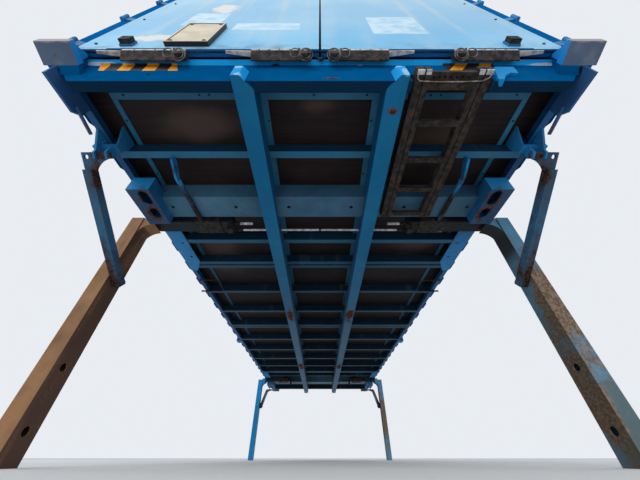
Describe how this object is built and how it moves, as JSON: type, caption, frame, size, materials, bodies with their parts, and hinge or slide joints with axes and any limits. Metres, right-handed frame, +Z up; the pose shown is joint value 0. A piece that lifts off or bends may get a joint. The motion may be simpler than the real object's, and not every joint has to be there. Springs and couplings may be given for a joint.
{
  "type": "swap body trailer",
  "caption": "Steel box swap body with corrugated walls and rear double doors, parked on fold-down legs with slanting struts, a guide tunnel and corner fittings underneath.",
  "frame": {"origin": "on the ground, below the middle of the body", "axes": "+X to the right as seen from behind the doors, +Y from the doors to the front wall, +Z up"},
  "size_m": [2.8, 7.45, 4.07],
  "materials": {
    "frame_paint": "worn blue paint with rust",
    "underframe_paint": "dull dark blue paint",
    "wall_paint": "blue paint",
    "door_paint": "faded pale blue paint",
    "worn_steel": "bare worn steel, partly rusty",
    "dark_steel": "dark dull paint",
    "galvanised": "zinc coat, dull",
    "plywood": "dark film-faced plywood",
    "rubber": "matt",
    "plate": "cream face in a dark frame"
  },
  "bodies": {
    "frame": {"floor_boards": "plywood", "cross_members": "underframe_paint", "floor_bearers": "dark_steel", "wide_beam_rear": "underframe_paint", "wide_beam_front": "underframe_paint", "guide_rail_right": "frame_paint", "guide_rail_left": "frame_paint", "side_rail_right": "frame_paint", "side_rail_left": "frame_paint", "corner_fittings_rear": "frame_paint", "corner_fittings_front": "frame_paint", "rear_sill": "frame_paint", "corner_blocks": "worn_steel", "corner_gussets": "frame_paint", "rear_posts": "frame_paint", "front_posts": "frame_paint", "rear_header": "frame_paint", "front_header": "frame_paint", "front_sill": "frame_paint", "side_wall_right": "wall_paint", "side_wall_left": "wall_paint", "front_wall": "wall_paint", "roof": "wall_paint", "top_rails": "frame_paint", "leg_rear_right": "frame_paint", "leg_rear_left": "frame_paint", "leg_front_right": "frame_paint", "leg_front_left": "frame_paint", "strut_rear_right": "frame_paint", "strut_rear_left": "frame_paint", "strut_front_right": "frame_paint", "strut_front_left": "frame_paint", "leg_carriers_rear": "frame_paint", "leg_carriers_front": "frame_paint", "strut_brackets_rear": "worn_steel", "strut_brackets_front": "worn_steel", "leg_locks_rear": "galvanised", "leg_locks_front": "galvanised", "operating_rods": "worn_steel", "grapple_plates": "worn_steel", "leg_rests": "underframe_paint", "leg_keepers": "frame_paint", "ladder": "worn_steel", "ladder_guides": "frame_paint", "sill_hook": "frame_paint", "post_hinges": "worn_steel"},
    "door_right": {"door_right": "door_paint", "door_locks_right": "worn_steel", "door_hinges_right": "door_paint", "door_buffer_right": "rubber"},
    "door_left": {"door_left": "door_paint", "door_locks_left": "worn_steel", "door_hinges_left": "door_paint", "door_buffer_left": "rubber", "document_plate": "plate"}
  },
  "joints": [
    {"name": "door_right_hinge", "type": "hinge", "parent": "frame", "child": "door_right", "pos_m": [1.262, -3.68, 2.78], "axis": [0, 0, 1], "range_deg": [0, 260]},
    {"name": "door_left_hinge", "type": "hinge", "parent": "frame", "child": "door_left", "pos_m": [-1.262, -3.68, 2.78], "axis": [0, 0, -1], "range_deg": [0, 260]}
  ]
}
